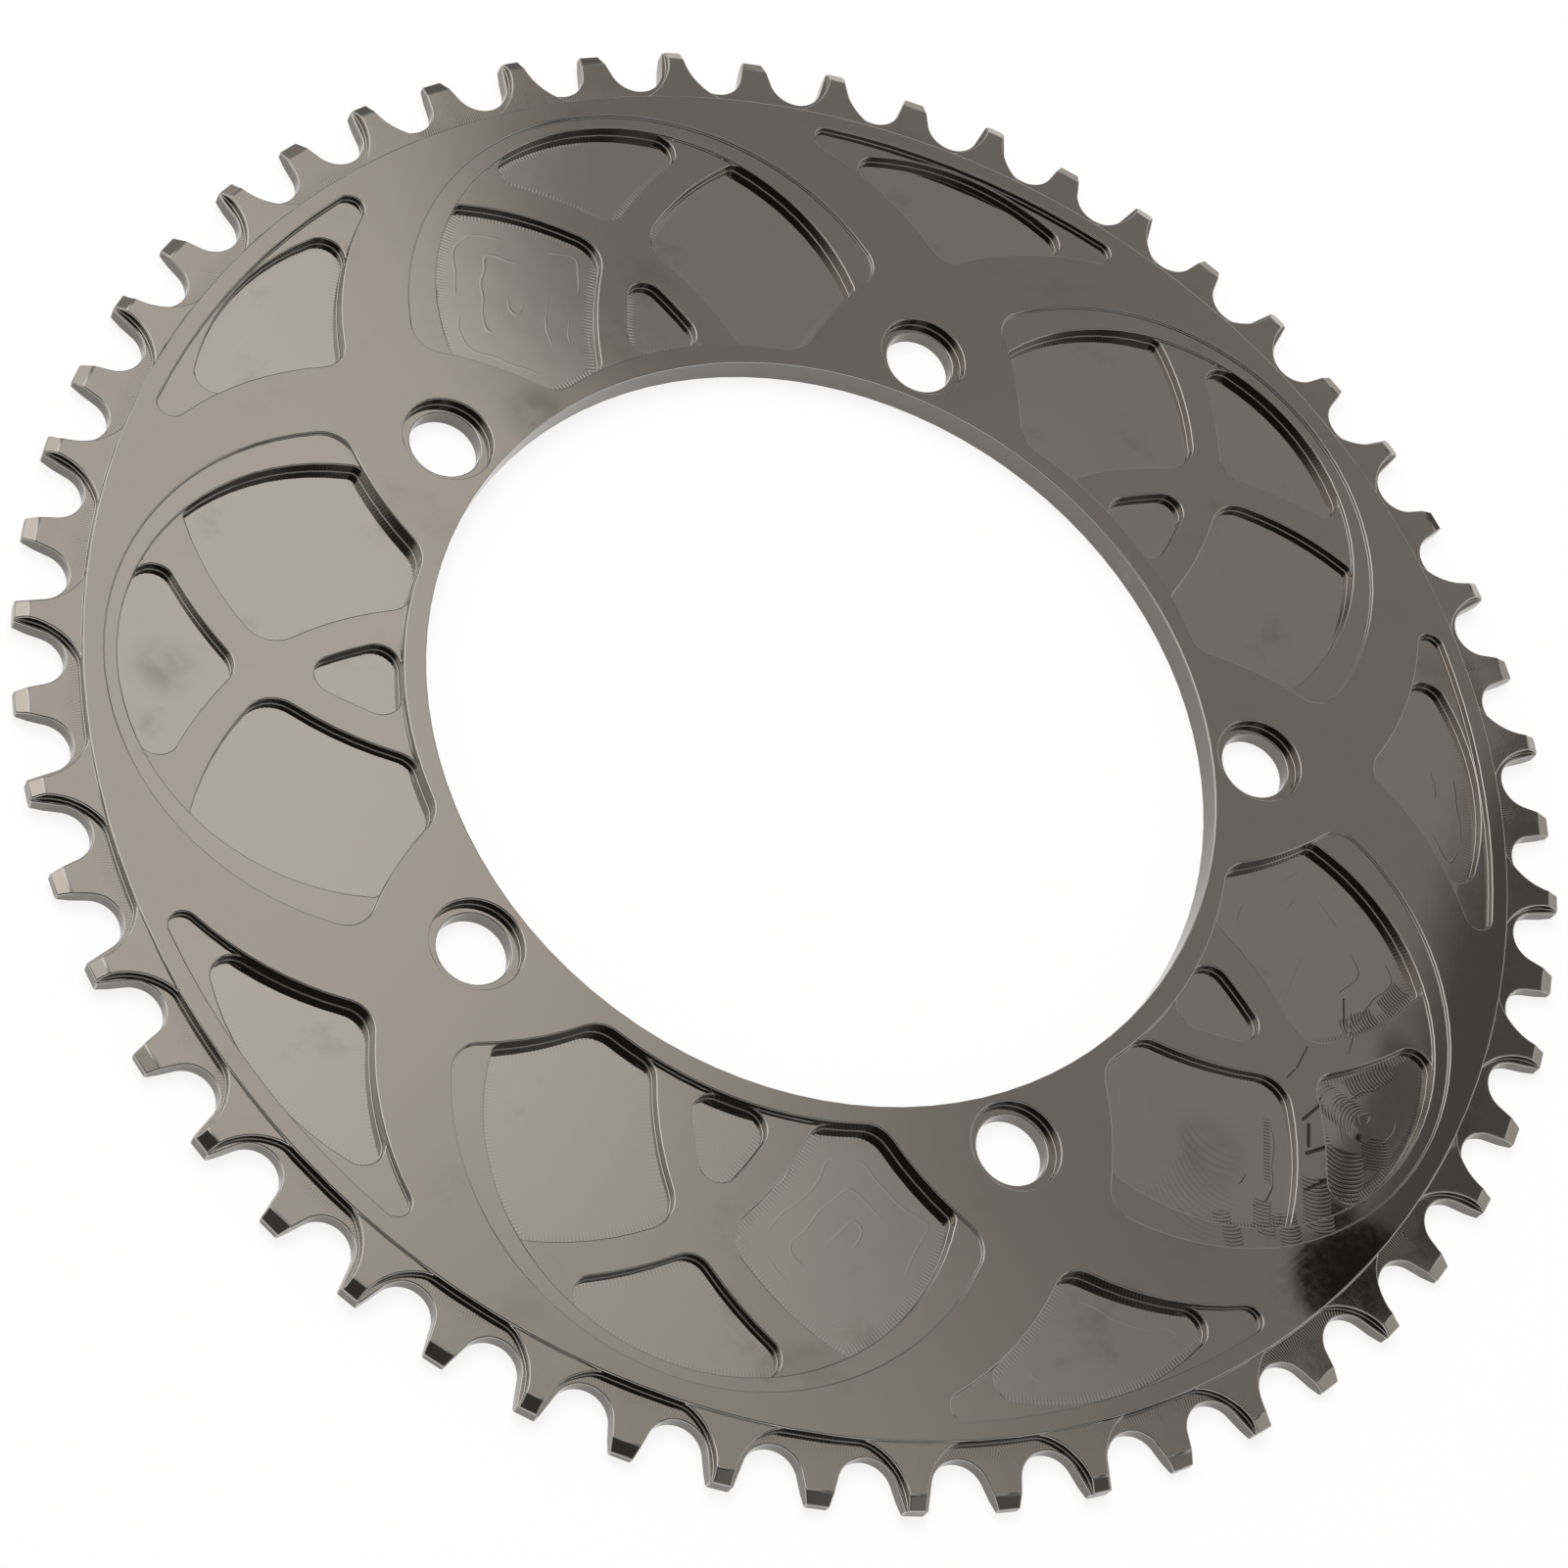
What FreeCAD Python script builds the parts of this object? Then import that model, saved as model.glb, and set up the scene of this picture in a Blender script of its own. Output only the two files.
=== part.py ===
import FreeCAD, Part
import os
from math import acos, atan2, cos, degrees, hypot, pi, radians, sin, sqrt
from FreeCAD import Vector

# A bicycle chainring, machined from one aluminium plate. It lies on its back
# face with the middle of its bore at the origin, and its pocketed front looks
# up, along +Z. All sizes are in millimetres and all angles in degrees.

# Chain and teeth
CHAIN_PITCH = 12.7
TOOTH_COUNT = 54
SEAT_R = 4.0                # arc that a chain roller sits in
SEAT_HALF_SWEEP = 70.0      # angle of that arc from its lowest point to a flank
TIP_ABOVE_PITCH = 2.82      # height of a tooth over the pitch circle
TIP_WIDTH = 3.05

# Turned section of the plate
PLATE_T = 4.2
STEP_DEPTH = 0.4            # the toothed rim is thinner by this on each face
STEP_INSIDE_ROOT = 1.85     # the step lies this far inside the roots of the teeth
BEVEL_RUN = 1.77            # length along the radius of the bevels on the tips
WIDE_BEVEL_DROP = 0.93      # drop of the front bevel of a wide tooth
NARROW_BEVEL_DROP = 0.7     # drop of the front bevel of a narrow tooth
BACK_BEVEL_DROP = 0.35      # drop of the back bevel of every tooth

# Narrow teeth: every second tooth is milled thinner, from the front
NARROW_DEPTH = 1.55         # depth of that relief below the front face
RELIEF_SIDE_R = 8.75        # arc of each side of the relief
RELIEF_CORNER_R = 4.0       # its corners along the turned step
WIDE_FACE_WIDTH = 2.4       # raised face left on a wide tooth, at its waist
WAIST_ABOVE_PITCH = 1.9     # height of that waist over the pitch circle

# Holes for the bolts of the crank's spider
BOLT_COUNT = 5
BOLT_CIRCLE_R = 65.0
BOLT_HOLE_R = 5.06
BOLT_SEAT_R = 6.4
BOLT_SEAT_DEPTH = 1.55
BORE_LAND = 1.15            # plate left between the bore and the seats of the bolts

# Depths of the pockets below the front face
WINDOW_DEPTH = 0.5
RIB_DEPTH = 1.0             # tops of the ribs that cross a window
SAIL_DEPTH = 1.0
WEB_T = 1.8                 # plate left under the deep pockets

# Window pocket, between two bolts. Its centre line is the +Y axis. Each arc is
# drawn with the x and y of its centre and its radius. The drawn window is then
# fitted between the land along the bore and the land along the step.
WINDOW_LAND = 3.15          # plate left between the bore and a window, at its middle
WINDOW_RIM = 2.84           # plate left between a window and the step, at its middle
WINDOW_BOTTOM = (0.0, 10.0, 50.6)
WINDOW_TOP = (0.0, 62.85, 37.67)
WINDOW_SIDE = (52.55, 22.33, 47.4)
WINDOW_SHOULDER_R = 4.3     # corner between the top and a side
WINDOW_FOOT_R = 4.33        # corner between a side and the bottom

# Ribs in a window: a low arch with two petals, a fan and a drop sunk into it
ARCH_TOP = (0.0, 66.3, 32.4)
PETAL_TOP = (32.54, 48.62, 42.2)
PETAL_INNER = (-36.13, 50.45, 48.2)
PETAL_NOSE_R = 4.7
PETAL_TOE_R = 3.4
ARCH_CORNER_R = 1.5         # corners where the arch of the ribs meets a petal or a window side
FAN_SIDE = (37.82, 41.77, 55.36)
FAN_POINT_R = 3.25
FAN_CORNER_R = 2.91
DROP_SIDE = (-49.71, 45.5, 58.04)
DROP_POINT_R = 2.75
DROP_TOE_R = 3.15

# Sail pocket, outside a bolt. Its centre line is the +Y axis too. The drawn
# sail is fitted between the bolts' seats and the land along the step.
SAIL_LAND = 10.4825         # plate left between a bolt's seat and where a sail's sides cross
SAIL_RIM = 2.55             # plate left between a sail and the step
SAIL_TOP = (0.0, 0.0, 100.81)
SAIL_SIDE = (31.15, 52.24, 43.0)
SAIL_POINT_R = 3.9
SAIL_TIP_R = 2.0
DEEP_SAIL_TOP = (0.0, 65.0, 35.55)
DEEP_SAIL_TIP_R = 3.06

# Values worked out from the sizes above
TOOTH_ANGLE = 360.0 / TOOTH_COUNT
PITCH_R = CHAIN_PITCH / (2 * sin(radians(TOOTH_ANGLE / 2)))
ROOT_R = PITCH_R - SEAT_R
TIP_R = PITCH_R + TIP_ABOVE_PITCH
STEP_R = ROOT_R - STEP_INSIDE_ROOT
BORE_R = BOLT_CIRCLE_R - BOLT_SEAT_R - BORE_LAND
BEVEL_R = TIP_R - BEVEL_RUN
WINDOW_RADII = (BORE_R + WINDOW_LAND, STEP_R - WINDOW_RIM)
SAIL_RADII = (BOLT_CIRCLE_R + BOLT_SEAT_R + SAIL_LAND, STEP_R - SAIL_RIM)
DEEP_DEPTH = PLATE_T - WEB_T
CLEAR = 1.0                 # how far a cutter reaches past what it cuts
ARC_TURN = 20.0             # angle between the three points that an arc is fitted by

Z_AXIS = Vector(0, 0, 1)
ORIGIN = Vector(0, 0, 0)


def polar(radius, angle):
    """Point at a radius and at an angle from the +X axis."""
    return Vector(radius * cos(radians(angle)), radius * sin(radians(angle)), 0)


def turned(shape, angle):
    """Copy of a shape, turned about the ring's axis."""
    copy = shape.copy()
    copy.rotate(ORIGIN, Z_AXIS, angle)
    return copy


def around(shape, count, first_angle):
    """Copies of a shape drawn on the +Y axis, evenly round the ring."""
    return [turned(shape, first_angle + k * 360.0 / count - 90) for k in range(count)]


def revolved(points):
    """Solid of revolution about the Z axis, from pairs of radius and height."""
    corners = [Vector(radius, 0, height) for radius, height in points]
    section = Part.Face(Part.makePolygon(corners + corners[:1]))
    return section.revolve(ORIGIN, Z_AXIS, 360)


# Outlines made of arcs. An outline goes round its pocket against the clock.
# The pocket lies inside the circle of a side that bulges outwards, and
# outside the circle of a side that bulges into the pocket.

def bulging_out(circle):
    """Side of a pocket that lies inside this circle."""
    x, y, radius = circle
    return {"x": x, "y": y, "r": radius, "way": 1}


def bulging_in(circle):
    """Side of a pocket that lies outside this circle."""
    x, y, radius = circle
    return {"x": x, "y": y, "r": radius, "way": -1}


def growth(drawn, wanted):
    """How much wider a fitted pocket is along the radius than the drawn one."""
    return (wanted[1] - wanted[0]) / (drawn[1] - drawn[0])


def fitted(circle, drawn, wanted):
    """A drawn circle, after the drawn radii of its pocket are moved to the wanted ones."""
    x, y, radius = circle
    centre = Vector(x, y, 0)
    towards_pocket = degrees(atan2(sum(drawn) / 2 - y, -x))
    points = []
    for turn in (-ARC_TURN, 0, ARC_TURN):
        point = centre + polar(radius, towards_pocket + turn)
        reach = wanted[0] + (point.Length - drawn[0]) * growth(drawn, wanted)
        points.append(point * (reach / point.Length))
    moved = Part.Circle(*points)
    return moved.Center.x, moved.Center.y, moved.Radius


def mirrored(circle):
    """The same circle on the other side of the centre line."""
    x, y, radius = circle
    return (-x, y, radius)


def corner_centre(a, b, radius):
    """Centre of the rounded corner where side a ends and side b starts."""
    reach_a = a["r"] - a["way"] * radius
    reach_b = b["r"] - b["way"] * radius
    dx = b["x"] - a["x"]
    dy = b["y"] - a["y"]
    distance = hypot(dx, dy)
    spread = acos((reach_a ** 2 + distance ** 2 - reach_b ** 2) / (2 * reach_a * distance))
    for angle in (atan2(dy, dx) + spread, atan2(dy, dx) - spread):
        x = a["x"] + reach_a * cos(angle)
        y = a["y"] + reach_a * sin(angle)
        turn = (x - a["x"]) * (y - b["y"]) - (y - a["y"]) * (x - b["x"])
        if turn * a["way"] * b["way"] > 0:
            return x, y


def touch_point(side, centre):
    """Where a rounded corner with this centre touches a side."""
    dx = centre[0] - side["x"]
    dy = centre[1] - side["y"]
    scale = side["r"] / hypot(dx, dy)
    return Vector(side["x"] + dx * scale, side["y"] + dy * scale, 0)


def arc(x, y, radius, start, end, way):
    """Arc about x, y between two points, against the clock where way is 1."""
    first = atan2(start.y - y, start.x - x)
    sweep = ((atan2(end.y - y, end.x - x) - first) * way) % (2 * pi)
    middle = first + way * sweep / 2
    halfway = Vector(x + radius * cos(middle), y + radius * sin(middle), 0)
    return Part.Arc(start, halfway, end).toShape()


def outline(*sides_and_corners, shrink=1.0):
    """Face of a pocket: each side is followed by the radius of its last corner."""
    sides = sides_and_corners[0::2]
    radii = [radius * shrink for radius in sides_and_corners[1::2]]
    count = len(sides)
    centres = [corner_centre(sides[i], sides[(i + 1) % count], radii[i]) for i in range(count)]
    edges = []
    for i, side in enumerate(sides):
        start = touch_point(side, centres[i - 1])
        end = touch_point(side, centres[i])
        edges.append(arc(side["x"], side["y"], side["r"], start, end, side["way"]))
        if radii[i] > 0:
            corner_end = touch_point(sides[(i + 1) % count], centres[i])
            edges.append(arc(*centres[i], radii[i], end, corner_end, 1))
    return Part.Face(Part.Wire(edges))


def sunk(face, depth):
    """Cutter that sinks the outline of a pocket to a depth below the front."""
    raised = face.copy()
    raised.translate(Vector(0, 0, PLATE_T - depth))
    return raised.extrude(Vector(0, 0, depth + CLEAR))


# The turned blank with its teeth

def tooth_edges(angle):
    """One tooth, from the bottom of a roller seat to the bottom of the next."""
    half = TOOTH_ANGLE / 2
    seat = polar(PITCH_R, 90 - half)
    inward = 270 - half
    lowest = seat + polar(SEAT_R, inward)
    seat_middle = seat + polar(SEAT_R, inward - SEAT_HALF_SWEEP / 2)
    seat_end = seat + polar(SEAT_R, inward - SEAT_HALF_SWEEP)
    tip_corner = Vector(TIP_WIDTH / 2, TIP_R, 0)
    right = [lowest, seat_middle, seat_end, tip_corner]
    left = [Vector(-point.x, point.y, 0) for point in right]
    edges = [
        Part.Arc(*left[:3]).toShape(),
        Part.makeLine(left[2], left[3]),
        Part.makeLine(left[3], right[3]),
        Part.makeLine(right[3], right[2]),
        Part.Arc(*right[2::-1]).toShape(),
    ]
    return [turned(edge, angle - 90) for edge in edges]


def toothed_blank():
    """The ring with its bore and step, and a thinner rim with all the teeth."""
    edges = []
    for k in range(TOOTH_COUNT):
        edges += tooth_edges(k * TOOTH_ANGLE)
    face = Part.Face(Part.Wire(Part.__sortEdges__(edges)))
    face.translate(Vector(0, 0, STEP_DEPTH))
    rim = face.extrude(Vector(0, 0, PLATE_T - 2 * STEP_DEPTH))
    plate = Part.makeCylinder(STEP_R, PLATE_T)
    bore = Part.makeCylinder(BORE_R, PLATE_T + 2 * CLEAR, Vector(0, 0, -CLEAR))
    return rim.fuse(plate).cut(bore)


# Cutters

def bevel(face, drop):
    """Flat bevel on the tip of the tooth on the +Y axis, down or up from a face."""
    out = 1 if drop > 0 else -1
    reach = TIP_R + CLEAR
    end = face - drop * (reach - BEVEL_R) / BEVEL_RUN
    corners = [(BEVEL_R, face), (reach, end), (reach, face + out * CLEAR), (BEVEL_R, face + out * CLEAR)]
    points = [Vector(-CHAIN_PITCH / 2, y, z) for y, z in corners]
    return Part.Face(Part.makePolygon(points + points[:1])).extrude(Vector(CHAIN_PITCH, 0, 0))


def tip_cutters():
    """Bevels on the front of the wide and narrow teeth and the back of them all."""
    wide = bevel(PLATE_T - STEP_DEPTH, WIDE_BEVEL_DROP)
    narrow = bevel(PLATE_T - NARROW_DEPTH, NARROW_BEVEL_DROP)
    back = bevel(STEP_DEPTH, -BACK_BEVEL_DROP)
    pairs = TOOTH_COUNT // 2
    return around(wide, pairs, 0) + around(narrow, pairs, TOOTH_ANGLE) + around(back, TOOTH_COUNT, 0)


def relief_cutters():
    """Reliefs of the narrow teeth, which also cut into the wide ones' flanks."""
    waist = Vector(-WIDE_FACE_WIDTH / 2 - RELIEF_SIDE_R, PITCH_R + WAIST_ABOVE_PITCH, 0)
    angle = degrees(atan2(waist.y, waist.x)) - TOOTH_ANGLE
    centre = polar(waist.Length, angle)
    right_side = (centre.x, centre.y, RELIEF_SIDE_R)
    face = outline(
        bulging_in((0.0, 0.0, STEP_R)), RELIEF_CORNER_R,
        bulging_out(right_side), 0,
        bulging_out((0.0, 0.0, TIP_R + CLEAR)), 0,
        bulging_out(mirrored(right_side)), RELIEF_CORNER_R,
    )
    face.translate(Vector(0, 0, PLATE_T - NARROW_DEPTH))
    relief = face.extrude(Vector(0, 0, NARROW_DEPTH - STEP_DEPTH))
    return around(relief, TOOTH_COUNT // 2, TOOTH_ANGLE)


def window_cutters():
    """Windows, then their low arches, then the petals, fans and drops."""
    drawn = (WINDOW_BOTTOM[1] + WINDOW_BOTTOM[2], WINDOW_TOP[1] + WINDOW_TOP[2])
    shrink = min(1.0, growth(drawn, WINDOW_RADII))

    def fit(circle):
        return fitted(circle, drawn, WINDOW_RADII)

    window_side = fit(WINDOW_SIDE)
    fan_side = fit(FAN_SIDE)
    drop_side = fit(DROP_SIDE)
    bottom = bulging_in(fit(WINDOW_BOTTOM))
    right = bulging_in(window_side)
    left = bulging_in(mirrored(window_side))
    arch_top = bulging_out(fit(ARCH_TOP))
    window = outline(
        bottom, WINDOW_FOOT_R,
        right, WINDOW_SHOULDER_R,
        bulging_out(fit(WINDOW_TOP)), WINDOW_SHOULDER_R,
        left, WINDOW_FOOT_R,
        shrink=shrink,
    )
    arch = outline(
        bottom, WINDOW_FOOT_R,
        right, ARCH_CORNER_R,
        arch_top, ARCH_CORNER_R,
        left, WINDOW_FOOT_R,
        shrink=shrink,
    )
    petal = outline(
        bottom, WINDOW_FOOT_R,
        right, ARCH_CORNER_R,
        arch_top, ARCH_CORNER_R,
        bulging_out(fit(PETAL_TOP)), PETAL_NOSE_R,
        bulging_in(fit(PETAL_INNER)), PETAL_TOE_R,
        shrink=shrink,
    )
    fan = outline(
        bulging_in(fan_side), FAN_CORNER_R,
        arch_top, FAN_CORNER_R,
        bulging_in(mirrored(fan_side)), FAN_POINT_R,
        shrink=shrink,
    )
    drop = outline(
        bottom, DROP_TOE_R,
        bulging_out(drop_side), DROP_POINT_R,
        bulging_out(mirrored(drop_side)), DROP_TOE_R,
        shrink=shrink,
    )
    deep = [petal, petal.mirror(ORIGIN, Vector(1, 0, 0)), fan, drop]
    windows = around(sunk(window, WINDOW_DEPTH), BOLT_COUNT, 0)
    arches = around(sunk(arch, RIB_DEPTH), BOLT_COUNT, 0)
    deep_pockets = [copy for face in deep for copy in around(sunk(face, DEEP_DEPTH), BOLT_COUNT, 0)]
    return [windows, arches, deep_pockets]


def sail_cutters():
    """Sails outside the bolts, then their deeper parts."""
    x, y, radius = SAIL_SIDE
    drawn = (y + sqrt(radius ** 2 - x ** 2), SAIL_TOP[2])
    shrink = min(1.0, growth(drawn, SAIL_RADII))

    def fit(circle):
        return fitted(circle, drawn, SAIL_RADII)

    sail_side = fit(SAIL_SIDE)
    right = bulging_in(sail_side)
    left = bulging_in(mirrored(sail_side))
    sail = outline(
        right, SAIL_TIP_R,
        bulging_out(fit(SAIL_TOP)), SAIL_TIP_R,
        left, SAIL_POINT_R,
        shrink=shrink,
    )
    deep_sail = outline(
        right, DEEP_SAIL_TIP_R,
        bulging_out(fit(DEEP_SAIL_TOP)), DEEP_SAIL_TIP_R,
        left, SAIL_POINT_R,
        shrink=shrink,
    )
    cutters = [sunk(sail, SAIL_DEPTH), sunk(deep_sail, DEEP_DEPTH)]
    return [around(cutter, BOLT_COUNT, 180.0 / BOLT_COUNT) for cutter in cutters]


def bolt_cutters():
    """Stepped holes for the bolts."""
    seat = PLATE_T - BOLT_SEAT_DEPTH
    hole = revolved([
        (0, -CLEAR),
        (BOLT_HOLE_R, -CLEAR),
        (BOLT_HOLE_R, seat),
        (BOLT_SEAT_R, seat),
        (BOLT_SEAT_R, PLATE_T + CLEAR),
        (0, PLATE_T + CLEAR),
    ])
    hole.translate(Vector(0, BOLT_CIRCLE_R, 0))
    return around(hole, BOLT_COUNT, 180.0 / BOLT_COUNT)


def chainring():
    """The finished ring."""
    ring = toothed_blank()
    rounds = window_cutters() + sail_cutters() + [bolt_cutters(), relief_cutters(), tip_cutters()]
    for cutters in rounds:
        ring = ring.cut(cutters)
    return ring.removeSplitter().Solids[0]


ring = chainring()
os.makedirs("parts", exist_ok=True)
ring.exportStep("parts/chainring.step")
box = ring.BoundBox
print("chainring", ring.ShapeType, len(ring.Solids), "solid,", len(ring.Faces), "faces,",
      "volume", round(ring.Volume, 1), "valid", ring.isValid())
print("box", round(box.XLength, 3), round(box.YLength, 3), round(box.ZLength, 3))
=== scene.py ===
# %% [markdown]
# A bicycle chainring: one flat ring of aluminium with 54 teeth round its rim.
# It is turned, its teeth and its pockets are milled, and then it is plated in
# a warm grey metal colour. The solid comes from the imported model. This lesson
# breaks its sharp edges, gives it its metal, and lights it so that the
# polished faces have something to mirror.

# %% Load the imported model
import math

import bmesh
import bpy
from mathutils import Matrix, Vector


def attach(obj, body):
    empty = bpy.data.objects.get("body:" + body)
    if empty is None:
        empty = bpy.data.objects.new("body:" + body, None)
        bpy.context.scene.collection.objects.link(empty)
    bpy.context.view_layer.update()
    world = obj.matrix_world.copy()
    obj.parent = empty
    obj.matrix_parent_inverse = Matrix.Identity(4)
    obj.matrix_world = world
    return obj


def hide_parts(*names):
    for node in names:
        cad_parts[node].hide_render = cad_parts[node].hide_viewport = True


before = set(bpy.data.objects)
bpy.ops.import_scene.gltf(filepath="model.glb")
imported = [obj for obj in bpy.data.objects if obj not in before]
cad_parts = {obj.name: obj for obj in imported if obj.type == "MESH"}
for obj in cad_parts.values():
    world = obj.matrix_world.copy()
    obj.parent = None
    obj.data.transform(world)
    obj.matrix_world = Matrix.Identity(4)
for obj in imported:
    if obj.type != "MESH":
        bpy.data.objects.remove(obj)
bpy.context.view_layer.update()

# %% [markdown]
# The camera stands where the photographer's stood: in front of the ring, above
# it, and rolled about its line of sight. Its place could be set by eye, but it
# was worked out from the outlines of the bore, the teeth and the bolt holes, so
# that each edge falls where the photo has it. The long lens keeps the far teeth
# nearly as large as the near ones.

# %% Camera
MM = 0.001
CAMERA_PLACE = (-4.19 * MM, -341.86 * MM, 480.86 * MM)
CAMERA_TURN = (28.9078, -19.8363, 30.8665)      # degrees
CAMERA_LENS = 98.45                             # mm
SENSOR_WIDTH = 36.0                             # mm
NEAREST_SEEN = 10 * MM

camera_data = bpy.data.cameras.new("camera")
camera_data.lens = CAMERA_LENS
camera_data.sensor_width = SENSOR_WIDTH
camera_data.clip_start = NEAREST_SEEN
camera = bpy.data.objects.new("camera", camera_data)
camera.location = CAMERA_PLACE
camera.rotation_euler = [math.radians(turn) for turn in CAMERA_TURN]
bpy.context.scene.collection.objects.link(camera)
bpy.context.scene.camera = camera
bpy.context.scene.view_settings.view_transform = "Standard"
print("camera is", round(Vector(CAMERA_PLACE).length, 3), "m from the middle of the ring")

# %% [markdown]
# Materials are trees of nodes. They could be drawn by hand in the node editor,
# but a script can repeat them exactly. These short helpers add one node, do one
# sum, or mix two values, so that each finish below reads like a recipe.

# %% Helpers for node trees
def fill(tree, socket, value):
    """Joins another node's output to an input, or sets the input to a plain value."""
    if isinstance(value, bpy.types.NodeSocket):
        tree.links.new(value, socket)
    else:
        socket.default_value = value


def add_node(tree, kind, **settings):
    """A new node of that kind. Inputs are named with in_ and their number or name."""
    node = tree.nodes.new(kind)
    for key, value in settings.items():
        if key.startswith("in_"):
            name = key[3:]
            fill(tree, node.inputs[int(name) if name.isdigit() else name], value)
        else:
            setattr(node, key, value)
    return node


def do_sum(tree, operation, *values):
    """Output of a Math node."""
    inputs = {f"in_{number}": value for number, value in enumerate(values)}
    return add_node(tree, "ShaderNodeMath", operation=operation, **inputs).outputs[0]


def plus(tree, first, second):
    return do_sum(tree, "ADD", first, second)


def minus(tree, first, second):
    return do_sum(tree, "SUBTRACT", first, second)


def times(tree, first, second):
    return do_sum(tree, "MULTIPLY", first, second)


def remap(tree, value, low, high, to_low=0.0, to_high=1.0):
    """A value brought smoothly from one range to another."""
    return add_node(tree, "ShaderNodeMapRange", interpolation_type="SMOOTHSTEP",
                    in_0=value, in_1=low, in_2=high, in_3=to_low, in_4=to_high).outputs[0]


def mix_numbers(tree, share, first, second):
    """The first number where share is 0, and the second where it is 1."""
    return add_node(tree, "ShaderNodeMix", data_type="FLOAT",
                    in_0=share, in_2=first, in_3=second).outputs[0]


def mix_colours(tree, share, first, second):
    """The first colour where share is 0, and the second where it is 1."""
    return add_node(tree, "ShaderNodeMix", data_type="RGBA",
                    in_0=share, in_6=first, in_7=second).outputs[2]


print("helpers for node trees are ready")

# %% [markdown]
# The ring lies on a plain pale floor. A white floor under a strong lamp would
# do, but the lamp would then glare in the metal. So the camera and the metal
# see the floor as plain white, and only a small part of it answers to the lamp,
# enough for the ring's soft shadow.

# %% Floor
WHITE = (1.0, 1.0, 1.0, 1.0)
FLOOR_SIDE = 6.0
FLOOR_DROP = 0.00002            # just under the ring, so that the two faces don't fight
FLOOR_PAINT = (0.9, 0.9, 0.9, 1.0)
FLOOR_SHADOW_SHARE = 0.14

bpy.ops.object.select_all(action="DESELECT")
bpy.ops.mesh.primitive_plane_add(size=FLOOR_SIDE, location=(0, 0, -FLOOR_DROP))
floor = bpy.context.object
floor.name = "floor"

floor_paint = bpy.data.materials.new("floor_paint")
floor_paint.use_nodes = True
tree = floor_paint.node_tree
tree.nodes.clear()
seen = add_node(tree, "ShaderNodeLightPath")
direct = do_sum(tree, "MAXIMUM", seen.outputs["Is Camera Ray"], seen.outputs["Is Glossy Ray"])
share = times(tree, direct, 1.0 - FLOOR_SHADOW_SHARE)
matt = add_node(tree, "ShaderNodeBsdfDiffuse", in_Color=FLOOR_PAINT)
white = add_node(tree, "ShaderNodeEmission", in_Color=WHITE, in_Strength=1.0)
mixed = add_node(tree, "ShaderNodeMixShader",
                 in_0=share, in_1=matt.outputs[0], in_2=white.outputs[0])
add_node(tree, "ShaderNodeOutputMaterial", in_Surface=mixed.outputs[0])
floor.data.materials.append(floor_paint)
print("floor side, metres:", floor.dimensions.x)

# %% [markdown]
# One wide lamp hangs over the ring, a little behind it on the left. It lights
# the floor and gives the ring its soft shadow. A small lamp would throw a hard
# one, which the photo doesn't show. The metal doesn't mirror this lamp, because
# the room below already holds what the metal should show.

# %% Lamp
LAMP_PLACE = (-0.5, 0.35, 1.5)
LAMP_SIDE = 1.1
LAMP_POWER = 20.0

lamp_data = bpy.data.lights.new("lamp", "AREA")
lamp_data.shape = "SQUARE"
lamp_data.size = LAMP_SIDE
lamp_data.energy = LAMP_POWER
lamp = bpy.data.objects.new("lamp", lamp_data)
lamp.location = LAMP_PLACE
lamp.rotation_euler = (-Vector(LAMP_PLACE)).to_track_quat("-Z", "Y").to_euler()
lamp.visible_glossy = False
bpy.context.scene.collection.objects.link(lamp)
print("lamp is", round(Vector(LAMP_PLACE).length, 2), "m from the ring")

# %% [markdown]
# Polished metal shows its surroundings more than its own colour, so the room
# matters as much as the finish. It could be built from real walls and screens,
# but those would stand in the way of other views. So it is painted on the sky:
# a middle grey room that is paler near the horizon, with soft bright and dark
# cards in it. Each card is a disc, given by where its middle lies, how wide it
# is, how soft its edge is, and how bright. A later card covers an earlier one.

# %% The room that the metal mirrors
ROOM_LEVEL = 0.335
HORIZON_LEVEL = 0.70
HORIZON_GLOW = (0.12, 0.42)     # upright part of the direction where its paler band ends
ROOM_TINT = (1.0, 0.985, 0.965, 1.0)
CARDS = [
    # heading from +Y towards +X, height, radius, soft edge (degrees), level
    (-88.0, 83.0, 29.5, 6.0, 0.55),     # ceiling
    (-18.6, 58.9, 5.1, 10.6, 0.90),     # bright window, behind on the left
    (51.9, 22.6, 40.5, 1.0, 0.13),      # dark curtain on the right
    (18.10, 54.88, 0.70, 0.12, 0.02),   # black fold in the curtain
    (-6.0, 48.4, 3.0, 2.9, 0.325),      # grey frame beside the curtain
    (52.0, 18.0, 30.0, 8.0, 0.64),      # grey wall in front of the curtain
    (-30.0, 10.0, 8.0, 8.0, 0.22),      # dark gap low on the left
    (-86.0, 46.0, 16.0, 18.0, 1.40),    # white screen on the left
    (85.0, 60.0, 10.0, 12.0, 0.26),     # wall on the right
    (125.0, 67.0, 6.0, 7.0, 0.06),      # dark corner of the ceiling
    (181.0, 54.0, 19.0, 17.0, 0.07),    # dark side, where the camera stands
    (98.0, 53.0, 3.0, 7.0, 0.13),       # dark gap beside it
]


def sky_direction(heading, height):
    """Unit vector towards a place in the room."""
    heading, height = math.radians(heading), math.radians(height)
    return (math.sin(heading) * math.cos(height), math.cos(heading) * math.cos(height),
            math.sin(height))


def dot(tree, first, second):
    """Dot product of two vectors."""
    return add_node(tree, "ShaderNodeVectorMath", operation="DOT_PRODUCT",
                    in_0=first, in_1=second).outputs["Value"]


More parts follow.
